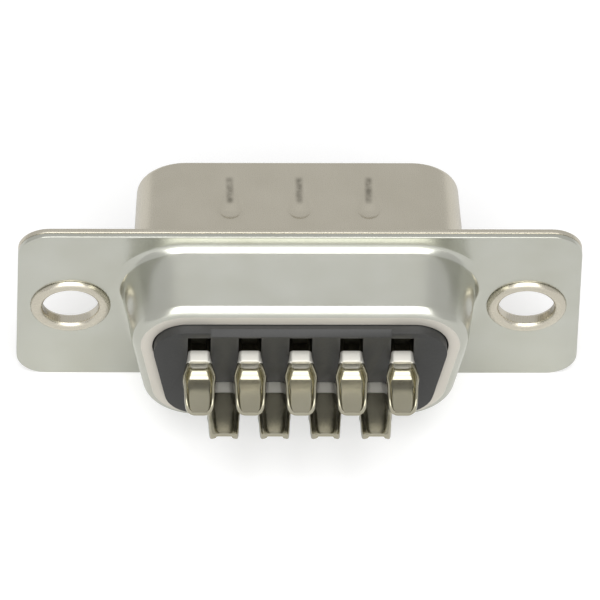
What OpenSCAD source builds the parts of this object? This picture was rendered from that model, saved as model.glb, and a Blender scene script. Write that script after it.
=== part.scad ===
// Nine way D-sub plug with open solder cups: two pressed shells, a two piece insulator and nine contacts.
// X runs along the long side of the D, Y points out of the mating side, Z is up, towards the row of five.
// The origin is the centre of the flange's front face.

/* [Flange] */
// Distance from a mounting hole's centre to the nearer end of the flange
flange_end = 2.91; // [2.5:0.01:4]
// Height of the flange along Z
flange_height = 12.55; // [12.3:0.01:14]
// Radius of the flange's corners in plan
flange_corner_r = 1.7; // [0.5:0.1:2.5]
// Distance between the centres of the two mounting holes
hole_spacing = 24.99; // [24.6:0.01:25.4]
// Diameter of the clear hole through each collar
hole_d = 3.05; // [2.6:0.01:3.2]

/* [Front shell] */
// Sheet thickness of the front shell
front_t = 0.3; // [0.2:0.01:0.35]
// Length of the inside of the sheath along X, at its widest
sheath_inner_w = 16.92; // [16.4:0.01:17.2]
// Height of the inside of the sheath
sheath_inner_h = 8.36; // [8:0.01:8.6]
// Radius of the sheath's inside corners
sheath_inner_r = 2.6; // [2:0.05:3]
// How far the sheath stands out of the flange's front face
sheath_depth = 5.86; // [5:0.01:7]
// Radius between the flange's front face and the outside of the sheath
sheath_root_r = 0.4; // [0.2:0.05:0.6]
// Rounding of the sheath's outer mouth edge
sheath_mouth_r = 0.12; // [0.05:0.01:0.15]
// Slant of the two short sides of the D
side_slant = 10; // [8:0.5:12]
// Outside diameter of the collars, rolled over behind the rear shell
roll_d = 4.4; // [4.2:0.05:5]
// How far the rolled collars stand out behind the rear shell
roll_h = 0.28; // [0.2:0.01:0.4]
// Gap between a collar and the rear shell that it clamps
collar_gap = 0.03; // [0.02:0.01:0.06]

/* [Dimples] */
// Distance between neighbouring dimples
dimple_pitch = 3.8; // [3:0.1:4]
// Number of dimples on the long side, one less on the short side
dimple_count = 3; // [1:1:3]
// How far a dimple is pressed in
dimple_depth = 0.26; // [0.1:0.01:0.3]
// Width of a dimple's round end
dimple_w = 1.4; // [1.2:0.05:1.8]
// Length of a dimple from the middle of its round end to its point
dimple_length = 2; // [1.5:0.1:2.5]
// Distance from the flange's front face to the middle of a dimple's round end
dimple_y = 2.5; // [2.2:0.1:3]

/* [Rear shell] */
// Sheet thickness of the rear shell
rear_t = 0.3; // [0.2:0.01:0.35]
// Length of the hump along X where it leaves the flange
hump_w = 19.28; // [18.8:0.01:19.6]
// Height of the hump where it leaves the flange
hump_h = 10.66; // [10.4:0.01:10.9]
// Radius of the hump's corners where it leaves the flange
hump_r = 3.48; // [3.4:0.01:3.7]
// Depth of the hump from the rear face of the flange to its rear rim
hump_depth = 4.07; // [3.6:0.01:5]
// Slant of the hump's wall, so that it narrows towards the rear
hump_draft = 8; // [4:0.5:9]
// Radius between the flange's rear face and the hump
hump_root_r = 0.5; // [0.3:0.05:0.6]
// Outside radius of the hump's rear edge
hump_rim_r = 0.58; // [0.45:0.01:0.7]
// Flat width of the lip that is turned in at the rear
lip_w = 0.57; // [0.3:0.01:0.7]

/* [Insulators] */
// Gap between an insulator and the metal that holds it
insulator_gap = 0.05; // [0.03:0.01:0.08]
// Distance of the front insulator's face from the flange's front face
insulator_front_y = 0.8; // [0.5:0.05:1.5]
// Depth behind the front shell's plate where the two insulators meet
split_depth = 1.2; // [0.9:0.05:1.6]
// How far the boss stands out of the hump's rear rim
boss_out = 0.53; // [0.3:0.01:1]
// Height of the bevel along the middle of the boss's upper and lower edges
bevel_h = 0.35; // [0.1:0.01:0.4]
// Depth of that bevel along Y
bevel_d = 0.29; // [0.1:0.01:0.35]
// How far the bevel reaches past the middles of the outer contacts
bevel_past = 0.6; // [0:0.05:0.6]
// Height of each cavity's recess from the pins' axis, on the open side of the contact
recess_h = 1.83; // [1:0.01:1.85]
// Depth of that recess from the boss's face
recess_depth = 1.2; // [0.6:0.05:1.5]

/* [Contacts] */
// Number of contacts in the upper row, one less in the lower row
upper_count = 5; // [5:1:5]
// Distance between neighbouring contacts of a row
contact_pitch = 2.77; // [2.74:0.01:2.8]
// Distance between the two rows
row_gap = 2.84; // [2.8:0.01:2.9]
// Gap between a contact and its cavity
contact_gap = 0.03; // [0.02:0.01:0.05]
// Diameter of the pin
pin_d = 1; // [0.9:0.01:1.05]
// Distance of the pin's tip from the flange's front face
pin_tip_y = 5.2; // [4.6:0.05:5.6]
// Length of the pin's rounded tip
pin_tip_length = 0.7; // [0.4:0.05:0.9]
// Diameter of the barrel that the insulators hold
barrel_d = 1.9; // [1.8:0.01:2]
// Length of the barrel
barrel_length = 2; // [1.5:0.05:2.2]
// Width of the neck
neck_w = 1.2; // [1.1:0.01:1.3]
// Height of the neck
neck_h = 1.17; // [1.1:0.01:1.25]
// Rounding of the neck's four edges
neck_r = 0.2; // [0.1:0.01:0.25]
// Distance from the pin's axis to the outside of the cup's floor
axis_to_floor = 0.59; // [0.56:0.01:0.62]
// Wall of the neck
neck_wall = 0.25; // [0.18:0.01:0.3]
// Height of the step in the channel from the neck down to the cup's floor
step_h = 0.29; // [0.1:0.01:0.35]
// How far the neck's closed side stands out of the boss's face
neck_out = 0.63; // [0.4:0.01:0.9]
// Distance from the end of the neck's closed side to the top of the step
step_y = 0.23; // [0.1:0.01:0.3]
// Length of the step's slope
step_length = 0.37; // [0.2:0.01:0.5]
// How far the end of the cup stands out of the boss's face
cup_out = 3.45; // [3:0.01:5]
// Distance from the end of the neck's closed side to the cup's shoulders
shoulder_y = 1.04; // [0.8:0.01:1.2]
// Width of the cup at its shoulders
shoulder_w = 1.8; // [1.7:0.01:1.9]
// Width of the cup behind its shoulders
cup_w = 1.66; // [1.5:0.01:1.7]
// Width of the cup's straight end
end_w = 1.13; // [0.9:0.01:1.2]
// Length of the cup's narrowing end
end_length = 0.6; // [0.4:0.01:0.8]
// Thickness of the cup's floor
floor_t = 0.28; // [0.2:0.01:0.32]
// Thickness of the cup's side walls
cup_wall = 0.22; // [0.15:0.01:0.25]
// Radius of the cup's outside edges along its floor
cup_edge_r = 0.34; // [0.2:0.01:0.4]
// Height of the cup's rims over the pin's axis at the shoulders
rim_high = 0.5; // [0.4:0.01:0.55]
// Height of the rims over the pin's axis where the end starts to fall
rim_low = 0.35; // [0.2:0.01:0.4]
// Height of the cup's end over the outside of its floor
end_h = 0.44; // [0.35:0.01:0.6]

/* [Hidden] */
$fn = 48;
flange_length = hole_spacing + 2 * flange_end;
flange_rear_y = -front_t - rear_t;
rim_y = flange_rear_y - hump_depth;
boss_y = rim_y - boss_out;
neck_end_y = boss_y - neck_out;
step_top_y = neck_end_y - step_y;
step_foot_y = step_top_y - step_length;
cup_shoulder_y = neck_end_y - shoulder_y;
cup_end_y = boss_y - cup_out;
shoulder_front_y = -front_t - insulator_gap;
split_y = shoulder_front_y - split_depth;
barrel_y = split_y - contact_gap;
barrel_end_y = barrel_y - barrel_length;
far = 40;
eps = 0.01;
// Steps of a D's corners and of the bends, and how the bends are seated in the flat plates
corner_steps = 10;
bend_steps = 5;
seat = 0.2;
seat_angle = 10;

// A D is named by its corners' centres: [half distance of the upper ones, half distance of the lower ones,
// half height between them]. Each outline around them lies at its own radius.
function d_centres(w, h, r) = [w / 2 - r, w / 2 - r - (h - 2 * r) * tan(side_slant), h / 2 - r];

sheath_c = d_centres(sheath_inner_w, sheath_inner_h, sheath_inner_r);
hump_c = d_centres(hump_w, hump_h, hump_r);

// Radii around the hump's centres
wall_n = [cos(hump_draft), -sin(hump_draft)];
root_centre = [hump_r + hump_root_r, flange_rear_y - hump_root_r];
root_tangent = root_centre - hump_root_r * wall_n;
rim_round_y = rim_y + hump_rim_r;
wall_run = root_tangent[1] - (rim_round_y + hump_rim_r * wall_n[1]);
rim_centre_r = root_tangent[0] - wall_run * tan(hump_draft) - hump_rim_r * wall_n[0];
opening_r = rim_centre_r - lip_w;

// Turns a plan shape drawn in X and Z into a solid between two Y values
module between(y0, y1) {
    translate([0, y1, 0]) rotate([90, 0, 0]) linear_extrude(y1 - y0) children();
}

// Turns a side shape drawn in Y and Z into a solid w wide along X
module across(w) {
    translate([-w / 2, 0, 0]) rotate([90, 0, 90]) linear_extrude(w) children();
}

// Plan outline of a D at radius r around its centres
module d_plan(c, r) {
    nx = r * cos(side_slant);
    nz = r * sin(side_slant);
    for (s = [-1, 1]) {
        translate([s * c[0], c[2]]) circle(r);
        translate([s * c[1], -c[2]]) circle(r);
    }
    polygon([[-c[0], c[2] + r], [c[0], c[2] + r], [c[0] + nx, c[2] - nz], [c[1] + nx, -c[2] - nz],
             [c[1], -c[2] - r], [-c[1], -c[2] - r], [-c[1] - nx, -c[2] - nz], [-c[0] - nx, c[2] - nz]]);
}

// Directions from angle a0 to angle a1, one for each point of a rounded corner
function directions(a0, a1) = [for (i = [0 : corner_steps]) let (a = a0 + (a1 - a0) * i / corner_steps) [cos(a), sin(a)]];

// The points of a D outline at radius r around its centres, at height y
function d_ring(c, r, y) = concat(
    [for (d = directions(90, -side_slant)) [c[0] + r * d[0], y, c[2] + r * d[1]]],
    [for (d = directions(-side_slant, -90)) [c[1] + r * d[0], y, r * d[1] - c[2]]],
    [for (d = directions(-90, side_slant - 180)) [r * d[0] - c[1], y, r * d[1] - c[2]]],
    [for (d = directions(180 + side_slant, 90)) [r * d[0] - c[0], y, c[2] + r * d[1]]]);

// Points of an arc in a wall's section
function arc(centre, r, a0, a1, steps) =
    [for (i = [0 : steps]) let (a = a0 + (a1 - a0) * i / steps) centre + r * [cos(a), sin(a)]];

// A wall that runs around a D. Its section is a closed loop of [radius around the centres, Y].
module d_wall(c, section) {
    m = 4 * (corner_steps + 1);
    n = len(section);
    polyhedron(
        points = [for (p = section) each d_ring(c, p[0], p[1])],
        faces = [for (j = [0 : n - 1], i = [0 : m - 1])
                 [j * m + i, (j + 1) % n * m + i, (j + 1) % n * m + (i + 1) % m, j * m + (i + 1) % m]],
        convexity = 6);
}

// Hole through a flat plate in which a wall is seated
module d_hole(c, r) {
    between(flange_rear_y - 1, 1) polygon([for (p = d_ring(c, r, 0)) [p[0], p[2]]]);
}

// Plan outline of the flange
module flange_plan() {
    dx = flange_length / 2 - flange_corner_r;
    dz = flange_height / 2 - flange_corner_r;
    square([2 * dx, flange_height], center = true);
    square([flange_length, 2 * dz], center = true);
    for (x = [-dx, dx], z = [-dz, dz]) translate([x, z]) circle(flange_corner_r);
}

// A round hole at each mounting place
module mount_holes(r) {
    for (s = [-1, 1]) translate([s * hole_spacing / 2, 0]) circle(r);
}

// Section of a collar: drawn back out of the front plate, through the rear shell and rolled over behind it
module collar_profile() {
    ri = hole_d / 2;
    round_r = (roll_h - collar_gap) / 2;
    roll_y = flange_rear_y - collar_gap - round_r;
    intersection() {
        translate([ri + front_t, -front_t]) circle(front_t);
        translate([ri, -front_t]) square(front_t);
    }
    translate([ri + front_t - eps, -front_t]) square([seat / 2 + eps, front_t]);
    translate([ri, roll_y]) square([front_t, -front_t - roll_y]);
    translate([ri + round_r, roll_y]) circle(round_r);
    translate([roll_d / 2 - round_r, roll_y]) circle(round_r);
    translate([ri + round_r, roll_y - round_r]) square([roll_d / 2 - ri - 2 * round_r, 2 * round_r]);
}

// Pressing tool of one dimple, grown by g, on the upper side of the sheath
module dimple_tool(g) {
    ball_r = (pow(dimple_w / 2, 2) + pow(dimple_depth, 2)) / (2 * dimple_depth);
    point_r = ball_r / 5;
    surface_z = sheath_inner_h / 2 + front_t;
    ball_z = surface_z - dimple_depth + ball_r;
    fall = surface_z + point_r + 0.02 - ball_z;
    translate([0, dimple_y, ball_z]) {
        sphere(ball_r + g);
        rotate([atan2(fall, dimple_length) - 90, 0, 0])
            cylinder(h = norm([fall, dimple_length]), r1 = ball_r + g, r2 = point_r + g);
    }
}

// All dimples of both long sides, grown by g
module dimples(g) {
    for (side = [0, 1]) mirror([0, 0, side]) {
        n = dimple_count - side;
        for (i = [0 : 1 : n - 1]) translate([(i - (n - 1) / 2) * dimple_pitch, 0, 0]) dimple_tool(g);
    }
}

// Section of the sheath: the bend out of the flange, the wall and its rounded mouth
function sheath_section() =
    let (r0 = sheath_inner_r, r1 = r0 + front_t, root = [r1 + sheath_root_r, sheath_root_r])
    let (mouth = [r1 - sheath_mouth_r, sheath_depth - sheath_mouth_r])
    concat([[r0, sheath_depth]],
           arc(root, sheath_root_r + front_t, 180, 270 - seat_angle, bend_steps),
           [[root[0] + seat, -front_t + seat / 5], [root[0] + seat, -seat / 5]],
           arc(root, sheath_root_r, 270 - seat_angle, 180, bend_steps),
           arc(mouth, sheath_mouth_r, 0, 90, 3));

module front_shell() {
    color([0.72, 0.7, 0.66]) difference() {
        union() {
            difference() {
                between(-front_t, 0) flange_plan();
                d_hole(sheath_c, sheath_inner_r + front_t + sheath_root_r - seat / 3);
                between(-front_t - 1, 1) mount_holes(hole_d / 2 + front_t + seat / 4);
            }
            d_wall(sheath_c, sheath_section());
            for (s = [-1, 1]) translate([s * hole_spacing / 2, 0, 0]) rotate([-90, 0, 0])
                rotate_extrude() collar_profile();
            intersection() {
                dimples(front_t);
                between(sheath_root_r, sheath_depth) square([sheath_inner_w, sheath_inner_h + front_t], center = true);
            }
        }
        dimples(0);
    }
}

// Section of the hump: the lip, the rim's bend, the slanted wall and the bend out of the flange
function hump_section() =
    let (rim_centre = [rim_centre_r, rim_round_y])
    concat([[opening_r, rim_y]],
           arc(rim_centre, hump_rim_r, -90, -hump_draft, bend_steps),
           arc(root_centre, hump_root_r, 180 - hump_draft, 90 + seat_angle, bend_steps),
           [[root_centre[0] + seat, flange_rear_y + seat / 5], [root_centre[0] + seat, -front_t - seat / 5]],
           arc(root_centre, hump_root_r + rear_t, 90 + seat_angle, 180 - hump_draft, bend_steps),
           arc(rim_centre, hump_rim_r - rear_t, -hump_draft, -90, bend_steps),
           [[opening_r, rim_y + rear_t]]);

module rear_shell() {
    color([0.76, 0.76, 0.72]) {
        difference() {
            between(flange_rear_y, -front_t) flange_plan();
            d_hole(hump_c, hump_r + hump_root_r - seat / 3);
            between(flange_rear_y - 1, 1) mount_holes(hole_d / 2 + front_t + collar_gap);
        }
        d_wall(hump_c, hump_section());
    }
}

// Section of the neck in X and Z, grown by g, with the pin's axis at the origin
module neck_section(g) {
    dx = neck_w / 2 - neck_r;
    z0 = neck_r - axis_to_floor;
    z1 = neck_h - axis_to_floor - neck_r;
    r = neck_r + g;
    translate([-dx, z0 - r]) square([2 * dx, z1 - z0 + 2 * r]);
    translate([-dx - r, z0]) square([2 * dx + 2 * r, z1 - z0]);
    for (x = [-dx, dx], z = [z0, z1]) translate([x, z]) circle(r);
}

// Places each contact of both rows. The lower row is turned over, so that its cups open downwards.
module contact_place(i) {
    lower = i >= upper_count ? 1 : 0;
    n = upper_count - lower;
    k = i - lower * upper_count;
    translate([(k - (n - 1) / 2) * contact_pitch, 0, (0.5 - lower) * row_gap]) mirror([0, 0, lower]) children();
}

module contact_places() {
    for (i = [0 : 2 * upper_count - 2]) contact_place(i) children();
}

// Front insulator: a shoulder behind the front shell's plate and a boss inside the sheath
module front_insulator() {
    color([0.14, 0.14, 0.15]) difference() {
        union() {
            between(split_y, shoulder_front_y)
                d_plan(hump_c, hump_r - rear_t - insulator_gap - (split_depth + front_t) * tan(hump_draft));
            between(shoulder_front_y - split_depth / 2, insulator_front_y)
                d_plan(sheath_c, sheath_inner_r - insulator_gap);
        }
        contact_places() between(split_y - 1, insulator_front_y + 1) circle(pin_d / 2 + contact_gap);
    }
}

// Rear insulator: a block inside the hump and a boss that fills the opening in its rim
module rear_insulator() {
    block_end_y = rim_y + rear_t + insulator_gap;
    boss_r = opening_r - insulator_gap;
    bevel_w = (upper_count - 1) * contact_pitch - 2 * bevel_past;
    color([0.12, 0.12, 0.13]) difference() {
        union() {
            between(block_end_y, split_y) d_plan(hump_c, rim_centre_r + (hump_rim_r - rear_t) / 3);
            between(boss_y, split_y) d_plan(hump_c, boss_r);
        }
        contact_places() {
            between(barrel_end_y - contact_gap, split_y + 1) circle(barrel_d / 2 + contact_gap);
            between(boss_y - 1, barrel_end_y) neck_section(contact_gap);
            between(boss_y - 1, boss_y + recess_depth)
                translate([-neck_w / 2 - contact_gap, 0]) square([neck_w + 2 * contact_gap, recess_h]);
        }
        for (side = [0, 1]) mirror([0, 0, side]) translate([0, boss_y, hump_c[2] + boss_r])
            across(bevel_w) polygon([[-1, -bevel_h * (1 + 1 / bevel_d)], [bevel_d + 1, bevel_h / bevel_d],
                                     [-1, bevel_h / bevel_d]]);
    }
}

// Round parts of a contact: barrel, pin and the pin's rounded tip
module contact_turned() {
    r = pin_d / 2;
    tip_base_y = pin_tip_y - pin_tip_length;
    rotate([-90, 0, 0]) rotate_extrude() polygon(concat(
        [[0, barrel_end_y], [barrel_d / 2, barrel_end_y], [barrel_d / 2, barrel_y], [r, barrel_y]],
        [for (a = [0 : 16 : 80]) [r * cos(a), tip_base_y + pin_tip_length * sin(a) / sin(80)]],
        [[0, pin_tip_y]]));
}

// Plan of the cup in X and Y, taken in by g at its sides
module cup_plan(g) {
    y0 = boss_y - 0.1;
    y1 = cup_shoulder_y;
    y2 = y1 - (shoulder_y - step_y) / 2;
    y3 = cup_end_y + end_length;
    a = neck_w / 2 - g;
    b = shoulder_w / 2 - g;
    c = cup_w / 2 - g;
    d = end_w / 2 - g / 2;
    polygon([[-a, y0 + 0.4], [-a, y0], [-b, y1], [-c, y2], [-c, y3], [-d, cup_end_y], [d, cup_end_y],
             [c, y3], [c, y2], [b, y1], [a, y0], [a, y0 + 0.4]]);
}

// Side view of the cup in Y and Z: rims that fall towards the end, and a rounded end
module cup_side() {
    z0 = -axis_to_floor;
    end_z = z0 + end_h;
    fall_y = cup_end_y + (rim_low - end_z);
    intersection() {
        polygon([[boss_y, z0], [boss_y, neck_h - axis_to_floor], [neck_end_y, neck_h - axis_to_floor],
                 [cup_shoulder_y, rim_high], [fall_y, rim_low], [cup_end_y, end_z], [cup_end_y, z0]]);
    }
    intersection() {
        translate([fall_y, end_z]) circle(rim_low - end_z);
        translate([cup_end_y, end_z]) square(fall_y - cup_end_y);
    }
}

// Sheet formed parts of a contact: closed neck, stepped channel and open cup
module contact_formed() {
    z0 = -axis_to_floor;
    floor_z = z0 + floor_t;
    hollow_top_z = neck_h - axis_to_floor - neck_wall;
    hollow_w = neck_w - 2 * neck_wall;
    difference() {
        union() {
            between(neck_end_y, barrel_end_y + 0.2) neck_section(0);
            intersection() {
                translate([0, 0, z0]) linear_extrude(neck_h) cup_plan(0);
                across(shoulder_w + 1) cup_side();
                between(cup_end_y - 1, boss_y + 1) {
                    translate([-far, z0 + cup_edge_r]) square([2 * far, neck_h]);
                    translate([cup_edge_r - shoulder_w / 2, z0])
                        square([shoulder_w - 2 * cup_edge_r, neck_h]);
                    for (s = [-1, 1]) translate([s * (shoulder_w / 2 - cup_edge_r), z0 + cup_edge_r])
                        circle(cup_edge_r);
                }
            }
        }
        across(hollow_w) polygon([[boss_y + recess_depth, floor_z + step_h], [boss_y + recess_depth, hollow_top_z],
                                  [neck_end_y, hollow_top_z], [neck_end_y, 1], [cup_end_y - 1, 1],
                                  [cup_end_y - 1, floor_z], [step_foot_y, floor_z],
                                  [step_top_y, floor_z + step_h]]);
        intersection() {
            translate([0, 0, floor_z]) linear_extrude(1 + neck_h) cup_plan(cup_wall);
            across(shoulder_w) polygon([[neck_end_y, 1], [neck_end_y, floor_z + step_h],
                                        [step_top_y, floor_z + step_h], [step_foot_y, floor_z],
                                        [cup_end_y - 1, floor_z], [cup_end_y - 1, 1]]);
        }
        translate([0, 0, floor_z]) linear_extrude(1)
            translate([-(end_w - cup_wall) / 2, cup_end_y - 1]) square([end_w - cup_wall, 2]);
    }
}

module contact(i) {
    color([0.84, 0.83, 0.78]) contact_place(i) {
        contact_turned();
        contact_formed();
    }
}

front_shell();
rear_shell();
front_insulator();
rear_insulator();
contact(0);  // contact_1
contact(1);  // contact_2
contact(2);  // contact_3
contact(3);  // contact_4
contact(4);  // contact_5
contact(5);  // contact_6
contact(6);  // contact_7
contact(7);  // contact_8
contact(8);  // contact_9
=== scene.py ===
"""Dresses the nine way D-sub plug: pressed shells, insulators, formed contacts, floor, light and camera."""

import logging
import math
from dataclasses import dataclass, field
from enum import Enum
from typing import Sequence

import bmesh
import bpy
from mathutils import Matrix, Vector


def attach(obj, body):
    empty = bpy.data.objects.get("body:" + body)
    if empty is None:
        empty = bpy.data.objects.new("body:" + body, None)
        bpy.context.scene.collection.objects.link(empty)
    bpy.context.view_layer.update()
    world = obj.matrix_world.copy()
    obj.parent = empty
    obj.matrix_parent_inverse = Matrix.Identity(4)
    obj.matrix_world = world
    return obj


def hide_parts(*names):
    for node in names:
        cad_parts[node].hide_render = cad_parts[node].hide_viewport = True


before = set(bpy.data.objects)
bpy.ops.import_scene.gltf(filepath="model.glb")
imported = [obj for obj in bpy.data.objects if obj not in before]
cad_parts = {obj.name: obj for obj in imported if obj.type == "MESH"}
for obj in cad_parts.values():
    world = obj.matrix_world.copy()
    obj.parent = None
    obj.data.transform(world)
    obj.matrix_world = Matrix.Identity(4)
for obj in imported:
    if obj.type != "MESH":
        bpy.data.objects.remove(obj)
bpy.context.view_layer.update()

MM = 0.001
Point = tuple[float, float]
Ring = list[Vector]
log = logging.getLogger("dsub_plug")


def linear(code: str) -> tuple[float, float, float, float]:
    """Turns an sRGB hex colour into linear light.

    Args:
        code: six hex digits with a leading hash.

    Returns:
        Linear red, green, blue and an alpha of 1.
    """
    parts = [int(code[i:i + 2], 16) / 255 for i in (1, 3, 5)]
    red, green, blue = (c / 12.92 if c <= 0.04045 else ((c + 0.055) / 1.055) ** 2.4 for c in parts)
    return red, green, blue, 1.0


def add_node(tree: bpy.types.NodeTree, kind: str, inputs: dict | None = None, **settings) -> bpy.types.Node:
    """Adds one node, with its settings, values and links.

    Args:
        tree: the tree that gets the node.
        kind: the node's type name.
        inputs: socket name or index to a value, or to an output socket that is linked in.
        settings: attributes of the node itself.

    Returns:
        The new node.
    """
    node = tree.nodes.new(kind)
    for name, value in settings.items():
        setattr(node, name, value)
    for name, value in (inputs or {}).items():
        if isinstance(value, bpy.types.NodeSocket):
            tree.links.new(value, node.inputs[name])
        else:
            node.inputs[name].default_value = value
    return node


# ---------------------------------------------------------------- finishes


def colour_of(node: bpy.types.Node) -> bpy.types.NodeSocket:
    """The colour that a node gives."""
    return next(socket for socket in node.outputs if socket.type == "RGBA")


def surface(
    name: str,
) -> tuple[bpy.types.Material, bpy.types.NodeTree, bpy.types.Node, bpy.types.NodeSocket]:
    """Starts a material.

    Args:
        name: the material's name.

    Returns:
        The material, its tree, its shader and the Object coordinates.
    """
    material = bpy.data.materials.new(name)
    material.use_nodes = True
    tree = material.node_tree
    shader = tree.nodes["Principled BSDF"]
    place = add_node(tree, "ShaderNodeTexCoord").outputs["Object"]
    return material, tree, shader, place


def stretched_noise(tree: bpy.types.NodeTree, place: bpy.types.NodeSocket,
                    grain_mm: tuple[float, float, float], detail: float = 3.0) -> bpy.types.NodeSocket:
    """Noise whose grain has its own length along X, Y and Z.

    Args:
        tree: the material's tree.
        place: Object coordinates.
        grain_mm: length of the grain along each axis, in millimetres.
        detail: how many finer layers it has.

    Returns:
        The noise's value, about 0.5 in the middle.
    """
    scale = [1 / (grain * MM) for grain in grain_mm]
    scaled = add_node(tree, "ShaderNodeMapping", {"Vector": place, "Scale": scale}).outputs["Vector"]
    noise = add_node(tree, "ShaderNodeTexNoise",
                     {"Vector": scaled, "Scale": 1.0, "Detail": detail, "Roughness": 0.55})
    return noise.outputs["Fac"]


@dataclass(frozen=True)
class PaintedDimpleShade:
    """Painted shade: dark lines along the creases at the points of the dimples, in millimetres."""

    pitch: float
    fade_across: tuple[float, float] = (0.03, 0.3)
    fade_in: tuple[float, float] = (2.9, 3.3)
    fade_out: tuple[float, float] = (4.5, 4.9)
    fade_up: tuple[float, float] = (3.0, 3.5)
    reach: float = 5.0
    grain: tuple[float, float, float] = (0.5, 0.4, 0.5)
    # Colour of the painted shade in the dimples.
    tone: str = "#4a463c"

    def level(self, tree: bpy.types.NodeTree, place: bpy.types.NodeSocket) -> bpy.types.NodeSocket:
        """Finds where the painted shade lies.

        Args:
            tree: the material's tree.
            place: Object coordinates.

        Returns:
            Up to 1 in the painted shade, 0 away from it.
        """
        axes = add_node(tree, "ShaderNodeSeparateXYZ", {0: place})
        away = add_node(tree, "ShaderNodeMath", {0: axes.outputs["X"], 1: self.pitch / 2 * MM},
                        operation="PINGPONG").outputs[0]
        level = stretched_noise(tree, place, self.grain)
        windows = ((away, self.fade_across, 1, 0), (axes.outputs["Y"], self.fade_in, 0, 1),
                   (axes.outputs["Y"], self.fade_out, 1, 0), (axes.outputs["Z"], self.fade_up, 0, 1))
        for value, (start, end), low, high in windows:
            window = add_node(tree, "ShaderNodeMapRange",
                              {"Value": value, "From Min": start * MM, "From Max": end * MM,
                               "To Min": low, "To Max": high}, interpolation_type="SMOOTHSTEP")
            level = add_node(tree, "ShaderNodeMath", {0: level, 1: window.outputs["Result"]},
                             operation="MULTIPLY").outputs[0]
        across = add_node(tree, "ShaderNodeMath", {0: axes.outputs["X"]}, operation="ABSOLUTE").outputs[0]
        inside = add_node(tree, "ShaderNodeMath", {0: across, 1: self.reach * MM}, operation="LESS_THAN")
        return add_node(tree, "ShaderNodeMath", {0: level, 1: inside.outputs[0]},
                        operation="MULTIPLY").outputs[0]


@dataclass(frozen=True)
class SatinWithPaintedHighlight:
    """A stretch along Y that a tool has left satin, with a lighter tone there that is a painted highlight,
    and the gloss of what lies past it, in millimetres.
    """

    start: float
    end: float
    fade: float
    roughness: float
    # A lighter colour for the stretch: a painted highlight.
    tone: str
    beyond: float


@dataclass(frozen=True)
class PlatedSheet:
    """Bright tin plated sheet: soft mirror, faint orange peel and fine drawing lines along the walls."""

    name: str
    light: str
    dark: str
    roughness: float
    satin_and_painted_highlight: SatinWithPaintedHighlight | None = None
    painted_dimple_shade: PaintedDimpleShade | None = None
    peel_mm: float = 0.35
    line_mm: float = 0.06
    line_length_mm: float = 3.0
    cloud_mm: float = 2.5
    peel: float = 0.05
    peel_height_mm: float = 0.05
    lines: float = 0.05
    line_height_mm: float = 0.02
    gloss_spread: tuple[float, float] = (0.8, 1.25)

    def add_satin_and_painted_highlight(self, tree: bpy.types.NodeTree, place: bpy.types.NodeSocket, gloss: bpy.types.NodeSocket,
             colour: bpy.types.NodeSocket) -> tuple[bpy.types.NodeSocket, bpy.types.NodeSocket]:
        """Adds the satin stretch and its lighter tone, which is a painted highlight.

        Args:
            tree: the material's tree.
            place: Object coordinates.
            gloss: the plating's roughness.
            colour: the plating's colour.

        Returns:
            Roughness and colour, with the satin stretch and its painted highlight in them.
        """
        satin_and_painted_highlight = self.satin_and_painted_highlight
        y = add_node(tree, "ShaderNodeSeparateXYZ", {0: place}).outputs["Y"]
        entered, left = (
            add_node(tree, "ShaderNodeMapRange",
                     {"Value": y, "From Min": low * MM, "From Max": high * MM}).outputs["Result"]
            for low, high in ((satin_and_painted_highlight.start - satin_and_painted_highlight.fade, satin_and_painted_highlight.start), (satin_and_painted_highlight.end, satin_and_painted_highlight.end + satin_and_painted_highlight.fade)))
        within = add_node(tree, "ShaderNodeMath", {0: entered, 1: left}, operation="SUBTRACT").outputs[0]
        for share, roughness in ((within, satin_and_painted_highlight.roughness), (left, satin_and_painted_highlight.beyond)):
            gloss = add_node(tree, "ShaderNodeMix", {"Factor": share, "A": gloss, "B": roughness}).outputs[0]
        # The satin stretch's lighter tone is a painted highlight.
        shine = add_node(tree, "ShaderNodeMix", {"Factor": within, "A": colour, "B": linear(satin_and_painted_highlight.tone)},
                         data_type="RGBA")
        return gloss, colour_of(shine)

    def make(self) -> bpy.types.Material:
        """Builds the material."""
        material, tree, shader, place = surface(self.name)
        peel = stretched_noise(tree, place, (self.peel_mm,) * 3)
        lines = stretched_noise(tree, place, (self.line_mm, self.line_length_mm, self.line_mm), 4.0)
        cloud = stretched_noise(tree, place, (self.cloud_mm,) * 3, 2.0)
        colour = colour_of(add_node(tree, "ShaderNodeMix", {"Factor": cloud, "A": linear(self.dark),
                                                            "B": linear(self.light)}, data_type="RGBA"))
        low, high = (self.roughness * share for share in self.gloss_spread)
        gloss = add_node(tree, "ShaderNodeMapRange",
                         {"Value": lines, "To Min": low, "To Max": high}).outputs["Result"]
        if self.satin_and_painted_highlight:
            gloss, colour = self.add_satin_and_painted_highlight(tree, place, gloss, colour)
        # Painted shade: darkens the creases at the points of the dimples.
        if self.painted_dimple_shade:
            colour = colour_of(add_node(tree, "ShaderNodeMix", {
                "Factor": self.painted_dimple_shade.level(tree, place), "A": colour, "B": linear(self.painted_dimple_shade.tone)},
                data_type="RGBA"))
        normal = add_node(tree, "ShaderNodeBump", {"Height": peel, "Strength": self.peel,
                                                   "Distance": self.peel_height_mm * MM}).outputs["Normal"]
        normal = add_node(tree, "ShaderNodeBump", {"Height": lines, "Strength": self.lines,
                                                   "Distance": self.line_height_mm * MM,
                                                   "Normal": normal}).outputs["Normal"]
        for socket, value in (("Base Color", colour), ("Roughness", gloss), ("Normal", normal)):
            tree.links.new(value, shader.inputs[socket])
        shader.inputs["Metallic"].default_value = 1.0
        return material


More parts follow.
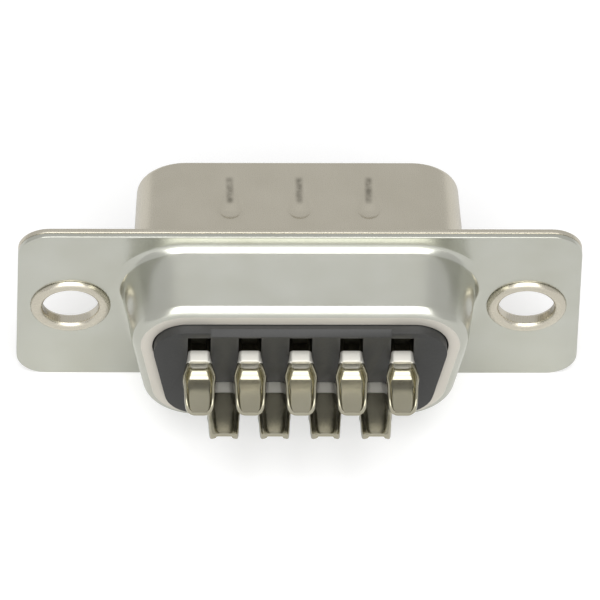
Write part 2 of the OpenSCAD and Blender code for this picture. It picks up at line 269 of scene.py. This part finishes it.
@dataclass(frozen=True)
class MouldedPolyester:
    """Black glass filled polyester, injection moulded: dull sheen with a very fine grain."""

    name: str
    light: str
    dark: str
    roughness: float = 0.5
    grain_mm: float = 0.12
    grain_strength: float = 0.15
    grain_height_mm: float = 0.02

    def make(self) -> bpy.types.Material:
        """Builds the material."""
        material, tree, shader, place = surface(self.name)
        grain = stretched_noise(tree, place, (self.grain_mm,) * 3, 4.0)
        tone = add_node(tree, "ShaderNodeMix", {"Factor": grain, "A": linear(self.dark),
                                                "B": linear(self.light)}, data_type="RGBA")
        bump = add_node(tree, "ShaderNodeBump", {"Height": grain, "Strength": self.grain_strength,
                                                 "Distance": self.grain_height_mm * MM})
        tree.links.new(colour_of(tone), shader.inputs["Base Color"])
        tree.links.new(bump.outputs["Normal"], shader.inputs["Normal"])
        shader.inputs["Roughness"].default_value = self.roughness
        return material


# ---------------------------------------------------------------- mesh tools


@dataclass
class Skin:
    """A mesh that is built from rings of points, in millimetres."""

    name: str
    mesh: bmesh.types.BMesh = field(default_factory=bmesh.new)

    def ring(self, points: Sequence[Vector]) -> list[bmesh.types.BMVert]:
        """Adds a closed ring of points."""
        return [self.mesh.verts.new(p * MM) for p in points]

    def bridge(self, a: Sequence[bmesh.types.BMVert], b: Sequence[bmesh.types.BMVert]) -> None:
        """Joins two rings of the same count with four sided faces."""
        n = len(a)
        for i in range(n):
            self.mesh.faces.new((a[i], a[(i + 1) % n], b[(i + 1) % n], b[i]))

    def loft(self, rings: Sequence[Sequence[Vector]]) -> list[list[bmesh.types.BMVert]]:
        """Adds rings and joins each to the next.

        Args:
            rings: rings of points, all with the same count.

        Returns:
            The rings' vertices.
        """
        made = [self.ring(r) for r in rings]
        for a, b in zip(made, made[1:]):
            self.bridge(a, b)
        return made

    def plate(self, borders: Sequence[Sequence[bmesh.types.BMVert]]) -> None:
        """Fills a flat plate between an outer border and the borders of its holes."""
        edges = []
        for border in borders:
            n = len(border)
            for i in range(n):
                edge = self.mesh.edges.get((border[i], border[(i + 1) % n]))
                edges.append(edge or self.mesh.edges.new((border[i], border[(i + 1) % n])))
        bmesh.ops.triangle_fill(self.mesh, use_beauty=True, use_dissolve=False, edges=edges)

    def finish(self, sharp_deg: float = 40.0) -> bpy.types.Object:
        """Makes the object, with its faces outwards.

        Args:
            sharp_deg: edges steeper than this stay sharp.

        Returns:
            The new object, at the origin.
        """
        bmesh.ops.remove_doubles(self.mesh, verts=self.mesh.verts, dist=1e-8)
        bmesh.ops.recalc_face_normals(self.mesh, faces=self.mesh.faces)
        data = bpy.data.meshes.new(self.name)
        self.mesh.to_mesh(data)
        self.mesh.free()
        data.shade_smooth()
        data.set_sharp_from_angle(angle=math.radians(sharp_deg))
        piece = bpy.data.objects.new(self.name, data)
        bpy.context.scene.collection.objects.link(piece)
        return piece


def arc(centre: Point, radius: float, start: float, end: float, steps: int) -> list[Point]:
    """Points along an arc, with angles in degrees."""
    angles = (math.radians(start + (end - start) * i / steps) for i in range(steps + 1))
    return [(centre[0] + radius * math.cos(a), centre[1] + radius * math.sin(a)) for a in angles]


def circle_ring(x: float, z: float, radius: float, y: float, steps: int = 96) -> Ring:
    """A circle in a plane across Y."""
    return [Vector((px, y, pz)) for px, pz in arc((x, z), radius, 0, 360, steps)[:-1]]


def box_ring(length: float, height: float, corner: float, out: float, y: float, steps: int = 10) -> Ring:
    """A rounded rectangle in a plane across Y, grown by out."""
    dx, dz, r = length / 2 - corner, height / 2 - corner, corner + out
    points: list[Point] = []
    for k, (sx, sz) in enumerate(((1, 1), (-1, 1), (-1, -1), (1, -1))):
        points += arc((sx * dx, sz * dz), r, 90 * k, 90 * k + 90, steps)
    return [Vector((px, y, pz)) for px, pz in points]


@dataclass(frozen=True)
class DShape:
    """A D outline, named by the centres of its rounded corners."""

    width: float
    height: float
    radius: float
    slant: float = 10.0
    corner_steps: int = 20
    long_steps: int = 1
    side_steps: int = 1

    def centres(self) -> tuple[float, float, float]:
        """Half distances of the upper and lower centres, and half their height."""
        half = self.height / 2 - self.radius
        upper = self.width / 2 - self.radius
        return upper, upper - 2 * half * math.tan(math.radians(self.slant)), half

    def ring(self, radius: float, y: float) -> Ring:
        """The outline at a radius around the centres.

        Args:
            radius: distance from the centres.
            y: place along Y.

        Returns:
            The ring, clockwise from the upper left.
        """
        cu, cl, h = self.centres()
        s = self.slant
        corners = (((cu, h), 90, -s), ((cl, -h), -s, -90),
                   ((-cl, -h), -90, s - 180), ((-cu, h), s + 180, 90))
        points: list[Point] = []
        for k, (centre, a, b) in enumerate(corners):
            bend = arc(centre, radius, a, b, self.corner_steps)
            if points:
                steps = self.side_steps if k in (1, 3) else self.long_steps
                points += self.between(points[-1], bend[0], steps)
            points += bend
        points += self.between(points[-1], points[0], self.long_steps)
        return [Vector((px, y, pz)) for px, pz in points]

    @staticmethod
    def between(a: Point, b: Point, steps: int) -> list[Point]:
        """Points strictly between two points."""
        dx, dz = (b[0] - a[0]) / steps, (b[1] - a[1]) / steps
        return [(a[0] + dx * i, a[1] + dz * i) for i in range(1, steps)]


# ---------------------------------------------------------------- shells


@dataclass
class Flange:
    """Sizes that both shells share."""

    length: float = 30.81
    height: float = 12.55
    corner: float = 1.7
    hole_spacing: float = 24.99
    hole: float = 3.05
    sheet: float = 0.3
    edge: float = 0.06

    def rim(self, front: float, rear: float) -> list[Ring]:
        """Rings round the cut edge of one sheet, from its front face to its rear face."""
        e = self.edge
        steps = [(-2.2 * e, front), (-1.1 * e, front)] + \
            [(p[0], p[1]) for p in arc((-e, front - e), e, 90, 0, 3)] + \
            [(p[0], p[1]) for p in arc((-e / 2, rear + e / 2), e / 2, 0, -90, 2)] + [(-2.2 * e, rear)]
        return [box_ring(self.length, self.height, self.corner, out, y) for out, y in steps]

    def hole_places(self) -> tuple[float, float]:
        """X of both holes."""
        return -self.hole_spacing / 2, self.hole_spacing / 2


@dataclass
class FrontShell:
    """The front shell: flange, sheath with its dimples, and the two rolled collars."""

    flange: Flange
    shape: DShape = DShape(17.02, 8.36, 2.35, long_steps=118, side_steps=6)
    draft: float = 3.5
    depth: float = 5.86
    root: float = 0.4
    mouth: float = 0.12
    mouth_depth: float = 0.3
    mouth_inner: float = 0.05
    dimple_pitch: float = 3.8
    dimple_count: int = 3
    dimple_depth: float = 0.26
    dimple_width: float = 1.4
    dimple_length: float = 2.0
    dimple_y: float = 2.5
    dimple_grown: float = 0.25
    roll: float = 4.4
    roll_height: float = 0.28

    def dimple(self, x: float, y: float, count: int, grown: float) -> float:
        """How far the wall is pressed in at a place.

        Args:
            x: place along the side.
            y: place along the wall.
            count: dimples on this side.
            grown: growth of the pressed form, for the wall's other face.

        Returns:
            The depth, 0 away from the dimples.
        """
        deep = 0.0
        half, d = self.dimple_width / 2, self.dimple_depth
        for i in range(count):
            across = x - (i - (count - 1) / 2) * self.dimple_pitch
            along = (y - self.dimple_y) / self.dimple_length
            share = 1.0 - max(0.0, min(1.0, along))
            width = (half + grown) * (0.22 + 0.78 * share)
            reach = math.hypot(across, y - self.dimple_y) if along < 0 else abs(across)
            inside = max(0.0, 1.0 - (reach / max(width, 1e-6)) ** 2)
            fade = share ** 0.75 if along > 0 else 1.0
            deep = max(deep, d * fade * inside ** 0.85)
        return deep

    def pressed(self, ring: Ring, grown: float) -> Ring:
        """Presses the dimples into a ring of the wall."""
        top = self.shape.height / 2 - 0.2
        out = []
        for p in ring:
            q = p.copy()
            if p.z > top:
                q.z -= self.dimple(p.x, p.y, self.dimple_count, grown)
            elif p.z < -top:
                q.z += self.dimple(p.x, p.y, self.dimple_count - 1, grown)
            out.append(q)
        return out

    def wall(self) -> list[Ring]:
        """Rings of the sheath, from the front of the plate over the mouth to the rear of the plate."""
        t, slope = self.flange.sheet, math.radians(self.draft)

        def radius(y: float, out: float) -> float:
            """Radius of the slanted wall at height y, out from its inside."""
            return self.shape.radius + (self.depth - y) * math.tan(slope) + out / math.cos(slope)

        root = (radius(self.root, t + self.root), self.root)
        y_top, y_low = self.depth - self.mouth_depth, self.root * (1 - math.sin(slope))
        rows = 56
        heights = [y_low + (y_top - y_low) * i / rows for i in range(1, rows + 1)]
        turn = [math.radians(a) for a in range(15, 91, 15)]
        r_top, e = radius(y_top, t), self.mouth_inner
        rings = [self.shape.ring(r, y) for r, y in arc(root, self.root, 270, 180 + self.draft, 8)]
        rings += [self.pressed(self.shape.ring(radius(y, t), y), 0.0) for y in heights]
        rings += [self.shape.ring(r_top - self.mouth * (1 - math.cos(a)),
                                  y_top + self.mouth_depth * math.sin(a)) for a in turn]
        rings += [self.shape.ring(r, y)
                  for r, y in arc((self.shape.radius + e, self.depth - e), e, 90, 180, 3)]
        rings += [self.pressed(self.shape.ring(radius(y, 0), y), self.dimple_grown)
                  for y in reversed(heights)]
        rings += [self.shape.ring(r, y) for r, y in arc(root, self.root + t, 180 + self.draft, 270, 8)]
        return rings

    def collar(self, x: float) -> list[Ring]:
        """Rings of one collar, from the front of the plate to the rear of the plate."""
        t, ri = self.flange.sheet, self.flange.hole / 2
        mid = (ri + self.roll / 2) / 2
        a, b, base = self.roll / 2 - mid, self.roll_height - 0.02, -2 * t - 0.02
        turn = [math.radians(k) for k in range(0, 181, 12)]
        curl = [(mid - a * math.cos(k), base - b * math.sin(k)) for k in turn]
        under = [(self.roll / 2 - 0.04, base + 0.005), (ri + t, base + 0.005), (ri + t, -t)]
        path = [(ri + t + 0.05, 0.0)] + arc((ri + t, -t), t, 90, 180, 6) + curl + under
        return [circle_ring(x, 0, r, y) for r, y in path]

    def build(self) -> bpy.types.Object:
        """Builds the shell's mesh."""
        skin = Skin("front_shell_pressing")
        rim = skin.loft(self.flange.rim(0.0, -self.flange.sheet))
        wall = skin.loft(self.wall())
        collars = [skin.loft(self.collar(x)) for x in self.flange.hole_places()]
        skin.plate([rim[0], wall[0]] + [c[0] for c in collars])
        skin.plate([rim[-1], wall[-1]] + [c[-1] for c in collars])
        return skin.finish()


@dataclass
class RearShell:
    """The rear shell: flange and the drawn hump with its lip."""

    flange: Flange
    shape: DShape = DShape(19.28, 10.66, 3.48, corner_steps=26, side_steps=4, long_steps=24)
    depth: float = 4.07
    draft: float = 8.0
    root: float = 0.5
    rim: float = 0.58
    lip: float = 0.57
    lip_edge: float = 0.05
    clearance: float = 0.03

    def wall(self) -> list[Ring]:
        """Rings of the hump, from the rear of the plate over the lip to the front of the plate."""
        t, plate = self.flange.sheet, -2 * self.flange.sheet
        slope = math.radians(self.draft)
        nx, ny = math.cos(slope), -math.sin(slope)
        root = (self.shape.radius + self.root, plate - self.root)
        foot = (root[0] - self.root * nx, root[1] - self.root * ny)
        rim_y = plate - self.depth
        top_y = rim_y + self.rim
        run = foot[1] - (top_y + self.rim * ny)
        rim_r = foot[0] - run * math.tan(slope) - self.rim * nx
        opening = rim_r - self.lip
        e = self.lip_edge
        path = arc(root, self.root, 90, 180 - self.draft, 10)
        path += arc((rim_r, top_y), self.rim, -self.draft, -90, 14)
        path += arc((opening + e, rim_y + e), e, -90, -180, 3)
        path += arc((opening + e, rim_y + t - e), e, 180, 90, 3)
        path += arc((rim_r, top_y), self.rim - t, -90, -self.draft, 8)
        path += arc(root, self.root + t, 180 - self.draft, 90, 8)
        return [self.shape.ring(r, y) for r, y in path]

    def build(self) -> bpy.types.Object:
        """Builds the shell's mesh."""
        t = self.flange.sheet
        skin = Skin("rear_shell_pressing")
        rim = skin.loft(self.flange.rim(-t, -2 * t)[::-1])
        wall = skin.loft(self.wall())
        radius = self.flange.hole / 2 + t + self.clearance
        holes = [skin.loft([circle_ring(x, 0, radius, -2 * t), circle_ring(x, 0, radius, -t)])
                 for x in self.flange.hole_places()]
        skin.plate([rim[0], wall[0]] + [h[0] for h in holes])
        skin.plate([rim[-1], wall[-1]] + [h[-1] for h in holes])
        return skin.finish()


# ---------------------------------------------------------------- contacts


class Row(Enum):
    """The two rows of contacts."""

    UPPER = 1
    LOWER = -1


def through(keys: Sequence[Point], at: float) -> float:
    """A smooth curve through key points that never overshoots them.

    Args:
        keys: points with falling or rising first values.
        at: where to read the curve.

    Returns:
        The curve's value.
    """
    keys = sorted(keys)
    if at <= keys[0][0]:
        return keys[0][1]
    if at >= keys[-1][0]:
        return keys[-1][1]
    n = len(keys)
    slopes = [(keys[i + 1][1] - keys[i][1]) / (keys[i + 1][0] - keys[i][0]) for i in range(n - 1)]
    tangents = [slopes[0]]
    for a, b in zip(slopes, slopes[1:]):
        tangents.append(0.0 if a * b <= 0 else 2 * a * b / (a + b))
    tangents.append(slopes[-1])
    k = max(i for i in range(n - 1) if keys[i][0] <= at)
    (x0, y0), (x1, y1) = keys[k], keys[k + 1]
    h = x1 - x0
    u = (at - x0) / h
    return (y0 * (2 * u ** 3 - 3 * u ** 2 + 1) + h * tangents[k] * (u ** 3 - 2 * u ** 2 + u)
            + y1 * (3 * u ** 2 - 2 * u ** 3) + h * tangents[k + 1] * (u ** 3 - u ** 2))


@dataclass
class Contact:
    """One stamped contact, with its pin along Y and its cup open towards +Z."""

    pin: float = 1.0
    pin_tip: float = 5.2
    tip_length: float = 0.7
    barrel: float = 1.9
    barrel_front: float = -1.58
    barrel_rear: float = -3.58
    neck: float = 1.2
    neck_top: float = 0.58
    neck_rear: float = -5.83
    floor_out: float = -0.59
    floor: float = -0.31
    step: float = 0.29
    neck_edge: float = 0.2
    corner: float = 0.4
    end: float = -8.65

    def half_width(self, y: float) -> float:
        """Half the cup's outside width."""
        keys = [(-5.2, 0.6), (-5.5, 0.635), (-6.2, 0.785), (-6.72, 0.89), (-6.88, 0.9), (-7.1, 0.868),
                (-7.35, 0.84), (-7.8, 0.828), (-8.2, 0.8), (-8.45, 0.762), (-8.6, 0.68), (self.end, 0.585)]
        return through(keys, y)

    def rim_height(self, y: float) -> float:
        """Height of the cup's rims over the pin's axis."""
        keys = [(-5.2, 0.5), (-6.87, 0.5), (-8.05, 0.36), (-8.3, 0.3), (-8.5, 0.14), (-8.6, -0.02),
                (self.end, -0.14)]
        return through(keys, y)

    def floor_height(self, y: float) -> float:
        """Height of the channel's floor."""
        high = self.floor + self.step
        return through([(-5.2, high), (-6.06, high), (-6.43, self.floor), (-7.0, self.floor)], y)

    def wall(self, y: float) -> float:
        """Thickness of the side walls."""
        return through([(-5.2, 0.25), (-5.9, 0.24), (-6.5, 0.17), (self.end, 0.15)], y)

    def section(self, y: float) -> Ring:
        """One ring of the open cup: its outside, over a rim, along the inside and over the other rim."""
        w, h, t, f = self.half_width(y), self.rim_height(y), self.wall(y), self.floor_height(y)
        z0 = self.floor_out
        r = min(self.corner, (h - z0) * 0.8, w * 0.6)
        rim = t / 2
        low = max(h - rim, z0 + r + 0.01)
        ri = min(0.2, max(0.03, (h - f) * 0.5), (w - t) * 0.5)
        wi = w - t
        half: list[Point] = [(w, low)]
        half += arc((w - r, z0 + r), r, 0, -90, 8)
        outer = half + [(-x, z) for x, z in reversed(half)]
        over_left = arc((-w + rim, low), rim, 180, 0, 6)[1:]
        inner_floor = min(f, low - 0.02)
        inner = [(-wi, inner_floor + ri)] + arc((-wi + ri, inner_floor + ri), ri, 180, 270, 5)[1:]
        inner += [(-x, z) for x, z in reversed(inner)]
        over_right = arc((w - rim, low), rim, 180, 0, 6)[:-1]
        return [Vector((x, y, z)) for x, z in outer + over_left + inner + over_right]

    def cup(self, skin: Skin) -> None:
        """Adds the formed strip from the barrel to the cup's end."""
        ys = [self.barrel_rear + 0.05, -4.4, -5.1]
        y = -5.2
        while y > self.end + 0.12:
            ys.append(y)
            y -= 0.05
        ys += [self.end + k for k in (0.11, 0.08, 0.055, 0.035, 0.02, 0.01, 0.0)]
        made = skin.loft([self.section(v) for v in ys])
        skin.mesh.faces.new(made[0])
        skin.mesh.faces.new(made[-1])

    def cap(self, skin: Skin) -> None:
        """Adds the closed side of the neck, with rounded long edges and a slightly rounded end."""
        w, z1, r = self.neck / 2 + 0.003, self.neck_top, self.neck_edge
        z0 = z1 - 0.25

        def ring(y: float, inset: float) -> Ring:
            """One ring of the closed side, drawn in by inset."""
            half = [(w - inset, z0 + inset)] + arc((w - r, z1 - r), r - inset, 0, 90, 6)
            points = half + [(-x, z) for x, z in reversed(half)]
            return [Vector((x, y, z)) for x, z in points]

        e = 0.035
        made = skin.loft([ring(self.barrel_rear + 0.05, 0.0), ring(self.neck_rear + e, 0.0),
                          ring(self.neck_rear + 0.4 * e, 0.2 * e), ring(self.neck_rear, e)])
        skin.mesh.faces.new(made[0])
        skin.mesh.faces.new(made[-1])

    def turned(self, skin: Skin) -> None:
        """Adds the barrel and the pin."""
        r, rb = self.pin / 2, self.barrel / 2
        base = self.pin_tip - self.tip_length
        path = [(0.02, self.barrel_rear), (rb - 0.03, self.barrel_rear), (rb, self.barrel_rear + 0.03),
                (rb, self.barrel_front - 0.03), (rb - 0.03, self.barrel_front), (r, self.barrel_front)]
        path += [(r * math.cos(math.radians(a)), base + self.tip_length * math.sin(math.radians(a)))
                 for a in range(0, 88, 7)]
        made = skin.loft([circle_ring(0, 0, radius, y, 40) for radius, y in path])
        skin.mesh.faces.new(made[0])
        skin.mesh.faces.new(made[-1])

    def build(self) -> bpy.types.Object:
        """Builds one contact on its own axis."""
        skin = Skin("contact_pattern")
        self.cup(skin)
        self.cap(skin)
        self.turned(skin)
        return skin.finish(50.0)


@dataclass
class ContactSet:
    """Places the contacts of both rows with one tree of geometry nodes."""

    pitch: float = 2.77
    row_gap: float = 2.84
    upper: int = 5

    def tree(self, pattern: bpy.types.Object, material: bpy.types.Material) -> bpy.types.NodeTree:
        """Builds the tree: a line of places, one of which gets the contact, turned over in the lower row.

        Args:
            pattern: the contact on its own axis.
            material: the contacts' finish.

        Returns:
            The tree, with the inputs Count, Pitch, Row height, Turned over and Place.
        """
        tree = bpy.data.node_groups.new("contact_row", "GeometryNodeTree")
        face = tree.interface
        named = {"Count": "Int", "Pitch": "Float", "Row height": "Float", "Turned over": "Float",
                 "Place": "Int"}
        for name, kind in named.items():
            face.new_socket(name, in_out="INPUT", socket_type="NodeSocket" + kind)
        face.new_socket("Geometry", in_out="OUTPUT", socket_type="NodeSocketGeometry")
        given = add_node(tree, "NodeGroupInput").outputs
        less = add_node(tree, "ShaderNodeMath", {0: given["Count"], 1: 1.0}, operation="SUBTRACT")
        span = add_node(tree, "ShaderNodeMath", {0: less.outputs[0], 1: given["Pitch"]},
                        operation="MULTIPLY")
        start = add_node(tree, "ShaderNodeMath", {0: span.outputs[0], 1: -0.5}, operation="MULTIPLY")
        first = add_node(tree, "ShaderNodeCombineXYZ", {"X": start.outputs[0], "Z": given["Row height"]})
        step = add_node(tree, "ShaderNodeCombineXYZ", {"X": given["Pitch"]})
        line = add_node(tree, "GeometryNodeMeshLine",
                        {"Count": given["Count"], "Start Location": first.outputs[0],
                         "Offset": step.outputs[0]})
        index = add_node(tree, "GeometryNodeInputIndex")
        chosen = add_node(tree, "FunctionNodeCompare", data_type="INT", operation="EQUAL")
        tree.links.new(index.outputs[0], chosen.inputs[2])
        tree.links.new(given["Place"], chosen.inputs[3])
        shape = add_node(tree, "GeometryNodeObjectInfo", {"Object": pattern}, transform_space="ORIGINAL")
        turn = add_node(tree, "ShaderNodeCombineXYZ", {"Y": given["Turned over"]})
        placed = add_node(tree, "GeometryNodeInstanceOnPoints",
                          {"Points": line.outputs["Mesh"], "Selection": chosen.outputs[0],
                           "Instance": shape.outputs["Geometry"], "Rotation": turn.outputs[0]})
        real = add_node(tree, "GeometryNodeRealizeInstances", {"Geometry": placed.outputs["Instances"]})
        dressed = add_node(tree, "GeometryNodeSetMaterial", {"Geometry": real.outputs["Geometry"],
                                                             "Material": material})
        add_node(tree, "NodeGroupOutput", {"Geometry": dressed.outputs["Geometry"]})
        return tree

    def build(self, material: bpy.types.Material) -> list[bpy.types.Object]:
        """Makes the nine contacts.

        Args:
            material: the contacts' finish.

        Returns:
            The contacts, upper row first.
        """
        pattern = Contact().build()
        tree = self.tree(pattern, material)
        keys = {s.name: s.identifier for s in tree.interface.items_tree if s.in_out == "INPUT"}
        pieces = []
        for row in Row:
            count = self.upper if row is Row.UPPER else self.upper - 1
            for place in range(count):
                name = f"contact_{len(pieces) + 1}_formed"
                holder = bpy.data.objects.new(name, bpy.data.meshes.new(name))
                bpy.context.scene.collection.objects.link(holder)
                maker = holder.modifiers.new("row", "NODES")
                maker.node_group = tree
                maker[keys["Count"]] = count
                maker[keys["Pitch"]] = self.pitch * MM
                maker[keys["Row height"]] = row.value * self.row_gap / 2 * MM
                maker[keys["Turned over"]] = 0.0 if row is Row.UPPER else math.pi
                maker[keys["Place"]] = place
                bpy.context.view_layer.update()
                shown = holder.evaluated_get(bpy.context.evaluated_depsgraph_get())
                data = bpy.data.meshes.new_from_object(shown)
                holder.modifiers.clear()
                holder.data = data
                pieces.append(holder)
        bpy.data.objects.remove(pattern)
        return pieces


# ---------------------------------------------------------------- insulators


@dataclass
class Moulding:
    """An insulator: the solid's own form with its edges broken as a mould leaves them."""

    node: str
    break_edge: float = 0.03

    def build(self) -> bpy.types.Object:
        """Copies the solid, merges it and rounds its edges.

        Returns:
            The moulded piece.
        """
        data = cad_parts[self.node].data.copy()
        data.name = self.node + "_moulding"
        mesh = bmesh.new()
        mesh.from_mesh(data)
        bmesh.ops.remove_doubles(mesh, verts=mesh.verts, dist=1e-7)
        bmesh.ops.dissolve_limit(mesh, angle_limit=math.radians(0.5), verts=mesh.verts, edges=mesh.edges)
        mesh.to_mesh(data)
        mesh.free()
        piece = bpy.data.objects.new(self.node + "_moulding", data)
        bpy.context.scene.collection.objects.link(piece)
        edges = piece.modifiers.new("broken_edges", "BEVEL")
        edges.width = self.break_edge * MM
        edges.segments = 2
        edges.limit_method = "ANGLE"
        edges.angle_limit = math.radians(40)
        edges.use_clamp_overlap = True
        shown = piece.evaluated_get(bpy.context.evaluated_depsgraph_get())
        result = bpy.data.meshes.new_from_object(shown)
        piece.modifiers.clear()
        piece.data = result
        result.materials.clear()
        result.shade_smooth()
        result.set_sharp_from_angle(angle=math.radians(32))
        return piece


# ---------------------------------------------------------------- stage, light and camera


@dataclass
class Studio:
    """A pale floor, a large soft lamp above, a weak one behind, an even surround and the camera."""

    floor_z: float = -6.275
    floor_half: float = 3000.0
    floor_tone: str = "#d5d5d5"
    floor_seen: float = 0.42
    floor_mirrored: float = 0.15
    world_light: float = 0.25
    world_mirrored: float = 0.66
    lamp_power: float = 14.5
    lamp_size: tuple[float, float] = (1.1, 1.42)
    lamp_place: tuple[float, float, float] = (0.0, -0.47, 0.88)
    fill_power: float = 1.2
    fill_size: tuple[float, float] = (1.1, 0.48)
    fill_place: tuple[float, float, float] = (0.0, -0.965, 0.26)
    view_deg: tuple[float, float, float] = (-2.66, 53.751, -2.213)
    view_distance: float = 0.9812
    view_lens: float = 1074.7
    view_y: float = -0.6
    view_shift: tuple[float, float] = (0.082, 0.3)

    def floor(self) -> bpy.types.Object:
        """Makes the floor, which shows white away from the object's shadow."""
        skin = Skin("floor")
        s = self.floor_half
        corners = [Vector((x, y, self.floor_z)) for x, y in ((-s, -s), (s, -s), (s, s), (-s, s))]
        skin.mesh.faces.new(skin.ring(corners))
        floor = skin.finish()
        material, tree, shader, _ = surface("white_paper_floor")
        shader.inputs["Base Color"].default_value = linear(self.floor_tone)
        shader.inputs["Roughness"].default_value = 0.9
        shader.inputs["Specular IOR Level"].default_value = 0.0
        path = add_node(tree, "ShaderNodeLightPath")
        mirrored = add_node(tree, "ShaderNodeMath",
                            {0: path.outputs["Is Glossy Ray"], 1: self.floor_mirrored},
                            operation="MULTIPLY")
        glow = add_node(tree, "ShaderNodeMath", {0: path.outputs["Is Camera Ray"], 1: self.floor_seen,
                                                 2: mirrored.outputs[0]}, operation="MULTIPLY_ADD")
        shader.inputs["Emission Color"].default_value = (1, 1, 1, 1)
        tree.links.new(glow.outputs[0], shader.inputs["Emission Strength"])
        floor.data.materials.append(material)
        floor.visible_shadow = False
        return floor

    def surround(self) -> None:
        """Sets the even surround: white to the eye and in reflections, softer as light."""
        world = bpy.data.worlds.new("surround")
        world.use_nodes = True
        bpy.context.scene.world = world
        tree = world.node_tree
        back = tree.nodes["Background"]
        path = add_node(tree, "ShaderNodeLightPath")
        seen = add_node(tree, "ShaderNodeMath",
                        {0: path.outputs["Is Camera Ray"], 1: path.outputs["Is Glossy Ray"]},
                        operation="MAXIMUM")
        level = add_node(tree, "ShaderNodeMapRange", {"Value": seen.outputs[0], "To Min": self.world_light,
                                                       "To Max": self.world_mirrored})
        back.inputs["Color"].default_value = (1, 1, 1, 1)
        tree.links.new(level.outputs["Result"], back.inputs["Strength"])

    def softbox(self, name: str, place: tuple[float, float, float], aim: tuple[float, float, float],
                size: tuple[float, float], watts: float) -> bpy.types.Object:
        """Makes one soft lamp.

        Args:
            name: the lamp's name.
            place: its middle, in metres.
            aim: the point that it faces, in metres.
            size: its two sides, in metres.
            watts: its power.

        Returns:
            The lamp.
        """
        data = bpy.data.lights.new(name, "AREA")
        data.shape = "RECTANGLE"
        data.size, data.size_y = size
        data.energy = watts
        lamp = bpy.data.objects.new(name, data)
        lamp.location = place
        lamp.rotation_mode = "QUATERNION"
        lamp.rotation_quaternion = (Vector(aim) - Vector(place)).to_track_quat("-Z", "Y")
        bpy.context.scene.collection.objects.link(lamp)
        return lamp

    def camera(self) -> bpy.types.Object:
        """Makes the camera: long lens, from behind the part and above it, with a small roll."""
        azimuth, elevation, roll = (math.radians(v) for v in self.view_deg)
        ahead = Vector((-math.sin(azimuth) * math.cos(elevation), math.cos(azimuth) * math.cos(elevation),
                        -math.sin(elevation)))
        right = Vector((math.cos(azimuth), math.sin(azimuth), 0))
        up = right.cross(ahead)
        across = right * math.cos(roll) - up * math.sin(roll)
        upright = right * math.sin(roll) + up * math.cos(roll)
        data = bpy.data.cameras.new("camera")
        data.sensor_width, data.lens = 36.0, self.view_lens
        data.clip_start, data.clip_end = 0.01, 20.0
        camera = bpy.data.objects.new("camera", data)
        turn = Matrix((across, upright, -ahead)).transposed().to_4x4()
        target = Vector((0, self.view_y, 0)) + across * self.view_shift[0] + upright * self.view_shift[1]
        place = target * MM - ahead * self.view_distance
        camera.matrix_world = Matrix.Translation(place) @ turn
        bpy.context.scene.collection.objects.link(camera)
        bpy.context.scene.camera = camera
        return camera

    def build(self) -> None:
        """Makes the whole studio."""
        self.camera()
        self.floor()
        self.surround()
        self.softbox("overhead_softbox", self.lamp_place, (0, 0, 0), self.lamp_size, self.lamp_power)
        self.softbox("rear_fill", self.fill_place, (0, 0, 0), self.fill_size, self.fill_power)
        bpy.context.scene.view_settings.view_transform = "Standard"


def dress(piece: bpy.types.Object, material: bpy.types.Material, slot: str, *nodes: str) -> None:
    """Gives a piece its finish and its body, and hides the solids that it stands for.

    Args:
        piece: the finished piece.
        material: its finish.
        slot: not used.
        nodes: the solids that it replaces.
    """
    if not piece.data.materials:
        piece.data.materials.append(material)
    piece.data.materials[0] = material
    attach(piece, "root")
    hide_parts(*nodes)
    log.info("%s: %d faces", piece.name, len(piece.data.polygons))


def main() -> None:
    """Builds the studio and every piece."""
    logging.basicConfig(level=logging.INFO, format="%(name)s %(message)s")
    Studio().build()
    # Tin plated steel, deep drawn and left bright: a neutral soft mirror with wide, soft edged highlights.
    # The turned in lip was ironed by its tool, which leaves it satin; its paler tone there is a painted
    # highlight.
    rear_plate = PlatedSheet(
        "drawn_tin_plated_steel_rear", "#cacbc3", "#bcbcb0", 0.24,
        satin_and_painted_highlight=SatinWithPaintedHighlight(-4.75, -4.668, fade=0.01, roughness=0.7, tone="#d9d5cc", beyond=0.24)).make()
    # The same plating on the front shell is a little warmer and duller, with painted shade along the creases
    # at the points of the dimples.
    front_plate = PlatedSheet("drawn_tin_plated_steel_front", "#d4cebf", "#c7c1b1", 0.26,
                              painted_dimple_shade=PaintedDimpleShade(3.8)).make()
    # Tin plated brass strip: olive where the cups were rolled, satin where the necks were pressed flat, with
    # a paler tone there that is a painted highlight, and a mirror on the round pins.
    contact_plate = PlatedSheet(
        "tin_plated_brass_contact", "#b5b19e", "#a39e8a", 0.2,
        satin_and_painted_highlight=SatinWithPaintedHighlight(-5.86, -5.14, fade=0.06, roughness=0.55, tone="#dcdad2", beyond=0.1)).make()
    # Glass filled polyester, moulded: near black, dull, with a grain that breaks up its highlights.
    black = MouldedPolyester("moulded_black_polyester", "#31312f", "#232322").make()
    flange = Flange()
    dress(FrontShell(flange).build(), front_plate, "shell_plate", "front_shell")
    dress(RearShell(flange).build(), rear_plate, "shell_plate", "rear_shell")
    for node in ("front_insulator", "rear_insulator"):
        dress(Moulding(node).build(), black, "insulator_plastic", node)
    for number, piece in enumerate(ContactSet().build(contact_plate), 1):
        dress(piece, contact_plate, "contact_plate", f"contact_{number}")


if __name__ == "__main__":
    main()
